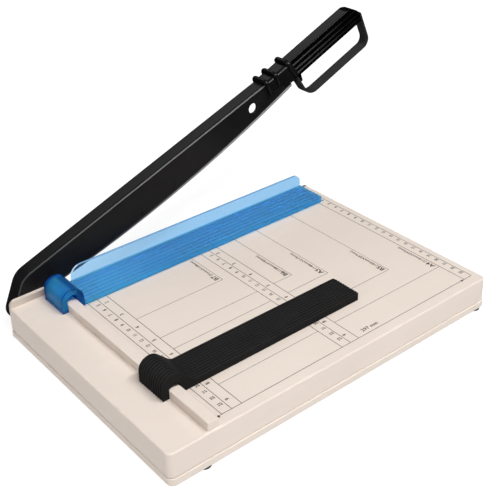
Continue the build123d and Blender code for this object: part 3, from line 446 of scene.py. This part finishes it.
def tool_steel():
    """Ledger: dark oiled face, grinding lines along its length."""
    f = Finish("tool_steel", metallic=0.35)
    lines = f.noise(1.0, 3, 0.6, where=f.scaled(18, 3800, 3800))
    cloud = f.noise(45, 4, 0.6)
    tone = f.mix(f.span(lines, 0.3, 0.7, 0, 1), (0.16, 0.16, 0.165), (0.30, 0.30, 0.31))
    f.feed("Base Color", f.mix(f.span(cloud, 0.4, 0.75, 0, 0.5), tone, (0.12, 0.115, 0.11)))
    f.feed("Roughness", f.span(lines, 0.3, 0.7, 0.28, 0.44))
    f.feed("Normal", f.bump(lines, 0.10, 0.00006))
    return f.mat


def black_screw():
    f = Finish("black_screw", metallic=0.85)
    cloud = f.noise(600, 3, 0.6)
    f.feed("Base Color", f.mix(f.span(cloud, 0.3, 0.7, 0, 1), (0.018, 0.018, 0.019), (0.045, 0.044, 0.043)))
    f.feed("Roughness", f.span(cloud, 0.3, 0.7, 0.32, 0.50))
    f.feed("Normal", f.bump(f.noise(1800, 2), 0.10, 0.00006))
    return f.mat


def blue_clear():
    """See-through blue styrene: tinted all through, deepest in the saddle, with painted light and shade on the
    saddle, bar and fin.
    """
    f = Finish("blue_clear")
    along = f.axis((1, 0, 0), board(0, 0, 0))
    up = f.axis((0, 0, 1), board(0, 0, 0))
    swirl = f.noise(1.0, 2, 0.5, where=f.scaled(9, 40, 40), warp=0.3)
    tilt = f.span(swirl, 0.3, 0.7, 0, 1)
    bar = f.mix(tilt, (0.135, 0.580, 0.850), (0.160, 0.620, 0.885))
    fin = f.mix(tilt, (0.560, 0.685, 0.820), (0.585, 0.705, 0.840))
    # painted light: bar and fin are painted palest towards the saddle's end
    pale = f.span(along, 0.030, 0.120, 0.9, 0, True)
    bar = f.mix(pale, bar, (0.195, 0.735, 0.980))
    fin = f.mix(pale, fin, (0.730, 0.835, 0.960))
    saddle = f.mix(tilt, (0.038, 0.385, 0.690), (0.046, 0.410, 0.730))
    # painted shade: the saddle is painted deepest towards its far end and its inner shoulder, along its low walls
    # and crest, and in a dark line along its front rim
    back = f.axis((0, 1, 0), board(0, 0, 0))
    far = f.span(back, -0.0170, -0.0098, 0, 0.95, True)
    inner = f.math("MULTIPLY", f.span(along, -0.0035, 0.0050, 0, 0.90, True), f.span(up, 0.004, 0.013, 0.75, 1))
    low = f.span(up, 0.0005, 0.0060, 0.55, 0, True)
    crest = f.math("MULTIPLY", f.span(up, 0.0195, 0.0216, 0, 0.6, True), f.span(along, -0.006, -0.002, 0, 1))
    deep = f.math("MAXIMUM", f.math("MAXIMUM", far, inner), f.math("MAXIMUM", low, crest))
    rim = f.math("MULTIPLY", f.span(back, -0.04225, -0.0421, 0, 0.9), f.span(back, -0.0414, -0.0402, 1, 0, True))
    deep = f.math("MAXIMUM", deep, rim)
    # painted light: a paler patch across the middle of the saddle's shoulder
    painted_lit_patch = f.math("MULTIPLY", f.span(f.math("ABSOLUTE", f.math("ADD", back, 0.0280)), 0.003, 0.012, 0.75, 0, True), f.span(up, 0.004, 0.010, 0, 1, True))
    painted_lit_patch = f.math("MULTIPLY", painted_lit_patch, f.span(along, -0.0120, -0.0060, 1, 0, True))
    saddle = f.mix(painted_lit_patch, saddle, (0.085, 0.520, 0.860))
    saddle = f.mix(deep, saddle, (0.004, 0.075, 0.400))
    at_fin = f.span(up, 0.0069, 0.0073, 0, 1)
    at_bar = f.span(along, 0.0076, 0.0082, 0, 1)
    # painted shade: the fin's upper edge is painted as a darker, less clear line
    at_rim = f.math("MULTIPLY", at_bar, f.span(up, 0.0206, 0.0210, 0, 1))
    tone = f.mix(at_bar, saddle, f.mix(at_fin, bar, fin))
    f.feed("Base Color", f.mix(at_rim, tone, (0.20, 0.38, 0.60)))
    clear = f.blend(at_bar, 0.64, f.span(at_fin, 0, 1, 0.74, 0.95))
    f.feed("Transmission Weight", f.blend(at_rim, clear, 0.55))
    f.set("IOR", 1.13)
    f.set("Specular IOR Level", 0.25)
    even = f.span(f.noise(110, 3), 0.3, 0.7, 0.02, 0.06)
    on_bar = f.math("MULTIPLY", at_bar, f.math("SUBTRACT", 1.0, at_fin))
    f.feed("Roughness", f.math("ADD", even, f.math("MULTIPLY", on_bar, 0.10)))
    depth = f.tree.nodes.new("ShaderNodeVolumeAbsorption")
    depth.inputs["Color"].default_value = (0.10, 0.67, 0.94, 1.0)
    depth.inputs["Density"].default_value = 284.0
    f.link(depth.outputs["Volume"], f.out.inputs["Volume"])
    return f.mat


BEIGE = beige_plastic()
INK = printing_ink()
PAINT = black_paint()
GLOSS = black_gloss_plastic(lift=0.0044)
ENAMEL = black_enamel()
GRIP = black_gloss_plastic("black_grip", (4.9, -1.3, -6.5))
MATTE = black_matte_plastic()
RUBBER = black_rubber()
ZINC = zinc_steel()
BRASS = brass()
LEDGER = tool_steel()
OXIDE = black_screw()
BLUE = blue_clear()

FINISH = {
    "base_top_shell": BEIGE,
    "base_bottom_cover": BEIGE,
    "ruler_fence": BEIGE,
    "rubber_feet": RUBBER,
    "cover_screws": ZINC,
    "fence_screws": ZINC,
    "fixed_blade": LEDGER,
    "fixed_blade_screws": OXIDE,
    "fixed_blade_nuts": ZINC,
    "pivot_bracket": ZINC,
    "bracket_screws": ZINC,
    "pivot_bolt": ZINC,
    "pivot_bush": BRASS,
    "pivot_spring_washers": ZINC,
    "pivot_washer": ZINC,
    "pivot_lock_nut": ZINC,
    "blade_arm": PAINT,
    "handle_collar": GLOSS,
    "handle_grip": GRIP,
    "handle_screws": OXIDE,
    "hand_guard": ENAMEL,
    "hand_guard_screws": OXIDE,
    "clamp_guard": BLUE,
    "paper_stop": MATTE,
}
for name, obj in NODES.items():
    obj.data.materials.clear()
    obj.data.materials.append(FINISH[name])

# ----------------------------------------------------------- printed markings
INK_LOW, INK_TOP = -0.02, 0.06  # the ink film, millimetres over the board
verts, faces = [], []


def film(points):
    """Closed thin film over a flat polygon, points counter-clockwise."""
    n, k = len(points), len(verts)
    verts.extend(board(x, y, INK_LOW) for x, y in points)
    verts.extend(board(x, y, INK_TOP) for x, y in points)
    faces.append(tuple(range(k + n - 1, k - 1, -1)))
    faces.append(tuple(range(k + n, k + 2 * n)))
    for i in range(n):
        j = (i + 1) % n
        faces.append((k + i, k + j, k + n + j, k + n + i))


def stroke(x0, y0, x1, y1, width):
    dx, dy = x1 - x0, y1 - y0
    run = math.hypot(dx, dy)
    px, py = -dy / run * width / 2, dx / run * width / 2
    film([(x0 - px, y0 - py), (x1 - px, y1 - py), (x1 + px, y1 + py), (x0 + px, y0 + py)])


def lettering(text, x, y, height, turn=True, weight=0.0, at="centre", wide=1.0):
    """Flat letters of a given height; turned ones read along +Y."""
    curve = bpy.data.curves.new("letters", "FONT")
    curve.body = text
    curve.size = 1.0
    curve.resolution_u = 3
    curve.offset = weight
    holder = bpy.data.objects.new("letters", curve)
    scene.collection.objects.link(holder)
    bpy.context.view_layer.update()
    flat = holder.evaluated_get(bpy.context.evaluated_depsgraph_get()).to_mesh()
    co = [v.co.copy() for v in flat.vertices]
    tris = [tuple(p.vertices) for p in flat.polygons]
    bpy.data.objects.remove(holder)
    bpy.data.curves.remove(curve)
    scale = height / CAP
    low = min(c.x for c in co) * scale * wide
    high = max(c.x for c in co) * scale * wide
    shift = {"centre": -(low + high) / 2, "start": -low, "end": -high}[at]
    k = len(verts)
    spots = []
    for c in co:
        along = c.x * scale * wide + shift
        up = c.y * scale - height / 2
        spots.append((x - up, y + along) if turn else (x + along, y + up))
    n = len(spots)
    verts.extend(board(px, py, INK_TOP) for px, py in spots)
    verts.extend(board(px, py, INK_LOW) for px, py in spots)
    sides = {}
    for t in tris:
        a, b, c = spots[t[0]], spots[t[1]], spots[t[2]]
        area = sum(
            spots[t[i]][0] * spots[t[(i + 1) % len(t)]][1]
            - spots[t[(i + 1) % len(t)]][0] * spots[t[i]][1]
            for i in range(len(t))
        )
        ring = t if area > 0 else t[::-1]
        faces.append(tuple(k + i for i in ring))
        faces.append(tuple(k + n + i for i in reversed(ring)))
        for i in range(len(ring)):
            edge = (ring[i], ring[(i + 1) % len(ring)])
            if edge[::-1] in sides:
                del sides[edge[::-1]]
            else:
                sides[edge] = True
    for i, j in sides:
        faces.append((k + j, k + i, k + n + i, k + n + j))
    return low + shift, high + shift


# height of a capital in the built-in face at size 1
probe = bpy.data.curves.new("probe", "FONT")
probe.body = "H"
probe_obj = bpy.data.objects.new("probe", probe)
scene.collection.objects.link(probe_obj)
bpy.context.view_layer.update()
CAP = probe_obj.dimensions.y
bpy.data.objects.remove(probe_obj)
bpy.data.curves.remove(probe)

RULE, THIN = 0.50, 0.38
Y_CUT, Y_FRONT = -4.0, -240.0
for x in (11.0, 20.9, 30.9, 139.8, 149.8, 159.4, 297.2, 307.4):
    stroke(x, Y_FRONT, x, Y_CUT, RULE)
stroke(8.0, Y_FRONT, 307.0, Y_FRONT, RULE)
film([(5.2, -240.5), (8.4, -242.2), (8.4, -238.8)])
film([(296.8, -240.0), (293.0, -238.6), (293.0, -241.4)])

# paper frames: corner, name, size in millimetres
for cx, cy, name, size in (
    (297.0, -210.0, "A4", "(210mmX297mm)"),
    (257.0, -182.0, "B5", "(182mmX257mm)"),
    (210.0, -148.0, "A5", "(148mmX210mm)"),
    (182.0, -128.0, "B6", "(128mmX182mm)"),
    (128.0, -91.0, "B7", "(91mmX128mm)"),
):
    if cx > 159.4:
        stroke(30.9, cy, 139.8, cy, THIN)
        stroke(159.4, cy, cx, cy, THIN)
    else:
        stroke(30.9, cy, cx, cy, THIN)
    if name != "A4":
        stroke(cx, cy, cx, Y_CUT, THIN)
    a, b = lettering(name, cx - 4.1, cy + 3.0, 4.6, weight=0.020, at="start", wide=1.15)
    lettering(size, cx - 3.7, cy + 3.0 + b - a + 1.2, 2.7, weight=0.018, at="start", wide=1.25)

# ruler figures
for n in range(1, 24):
    for x in (17.0, 146.2, 304.2):
        lettering(str(n), x, -10.0 * n, 3.6, weight=0.020, wide=0.9 if n < 10 else 0.68)
for n in range(1, 10):
    for x in (25.2, 153.4):
        lettering(str(n), x, -25.4 * n, 3.6, weight=0.020, wide=0.9)
lettering("297 mm", 168.5, -234.2, 3.6, turn=False, weight=0.018, at="start", wide=1.1)

print_mesh = bpy.data.meshes.new("board_printing")
print_mesh.from_pydata(verts, [], faces)
print_mesh.validate()
print_mesh.update()
print_mesh.materials.append(INK)
printing = bpy.data.objects.new("board_printing", print_mesh)
scene.collection.objects.link(printing)
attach(printing, "base")

# --------------------------------------------------------------------- floor
floor_mesh = bpy.data.meshes.new("floor")
floor_mesh.from_pydata(
    [(-6, -6, -0.0002), (6, -6, -0.0002), (6, 6, -0.0002), (-6, 6, -0.0002)],
    [],
    [(0, 1, 2, 3)],
)
floor = bpy.data.objects.new("floor", floor_mesh)
scene.collection.objects.link(floor)
floor.visible_glossy = False
paper = Finish("floor_white", 0.9)
paper.feed("Base Color", paper.mix(paper.noise(3, 2), (0.30, 0.30, 0.30), (0.31, 0.31, 0.31)))
paper.set("Specular IOR Level", 0.0)
paper.set("Emission Color", (1, 1, 1, 1))
paper.feed("Emission Strength", paper.span(paper.radius_xy(), 0.45, 1.6, 0.855, 1.02, True))
floor_mesh.materials.append(paper.mat)

STEPS, REACH, TALL = 48, 5.9, 7.0
ring = [
    (REACH * math.cos(2 * math.pi * i / STEPS), REACH * math.sin(2 * math.pi * i / STEPS))
    for i in range(STEPS)
]
wall_mesh = bpy.data.meshes.new("backdrop")
wall_mesh.from_pydata(
    [(x, y, z) for z in (-0.0002, TALL) for x, y in ring],
    [],
    [(i, STEPS + i, STEPS + (i + 1) % STEPS, (i + 1) % STEPS) for i in range(STEPS)],
)
wall = bpy.data.objects.new("backdrop", wall_mesh)
scene.collection.objects.link(wall)
wall.visible_diffuse = False
wall.visible_glossy = False
wall.visible_shadow = False
pale = Finish("backdrop_white", 0.9)
pale.feed("Base Color", pale.mix(pale.noise(2, 2), (0.02, 0.02, 0.02), (0.03, 0.03, 0.03)))
pale.set("Specular IOR Level", 0.0)
pale.set("Emission Color", (1, 1, 1, 1))
pale.set("Emission Strength", 1.02)
wall_mesh.materials.append(pale.mat)
